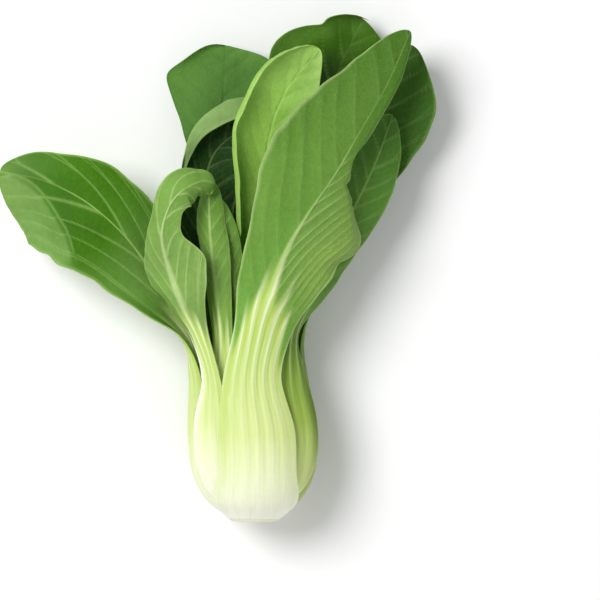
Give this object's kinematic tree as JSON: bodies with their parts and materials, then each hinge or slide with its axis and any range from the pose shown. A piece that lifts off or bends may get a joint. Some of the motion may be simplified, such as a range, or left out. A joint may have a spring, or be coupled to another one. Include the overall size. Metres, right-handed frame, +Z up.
{
  "type": "bok choy",
  "caption": "Head of green-stemmed bok choy lying on its side: a round bulb of pale thick leaf stalks on a short stem, opening into dark, waved green blades.",
  "frame": {"origin": "middle of the small flat spot under the bulb, which the head rests on", "axes": "+Y from the cut stem towards the leaf tips, +Z up, +X towards the right as seen from above with the tips away"},
  "size_m": [0.196, 0.2286, 0.0685],
  "materials": {
    "stalk": "satin",
    "cut_stem": "matte",
    "outer_face": "satin",
    "pale_outer_face": "satin",
    "upper_face": "satin",
    "bright_face": "satin",
    "dark_face": "satin"
  },
  "bodies": {
    "root": {"stem": "cut_stem", "leaf_front_stalk": "stalk", "leaf_front_blade": "outer_face", "leaf_left_small_stalk": "stalk", "leaf_left_small_blade": "pale_outer_face", "leaf_left_long_stalk": "stalk", "leaf_left_long_blade": "upper_face", "leaf_right_tucked_stalk": "stalk", "leaf_right_tucked_blade": "outer_face", "leaf_right_outer_stalk": "stalk", "leaf_right_outer_blade": "dark_face", "leaf_under_stalk": "stalk", "leaf_under_blade": "dark_face", "leaf_back_left_stalk": "stalk", "leaf_back_left_blade": "upper_face", "leaf_back_right_stalk": "stalk", "leaf_back_right_blade": "upper_face", "leaf_folded_stalk": "stalk", "leaf_folded_blade": "bright_face", "leaf_hood_stalk": "stalk", "leaf_hood_blade": "dark_face", "leaf_inner_left_stalk": "stalk", "leaf_inner_left_blade": "outer_face", "leaf_inner_round_stalk": "stalk", "leaf_inner_round_blade": "outer_face", "leaf_inner_right_stalk": "stalk", "leaf_inner_right_blade": "dark_face", "leaf_heart_upper_stalk": "stalk", "leaf_heart_upper_blade": "bright_face", "leaf_heart_lower_stalk": "stalk", "leaf_heart_lower_blade": "bright_face"}
  },
  "joints": []
}
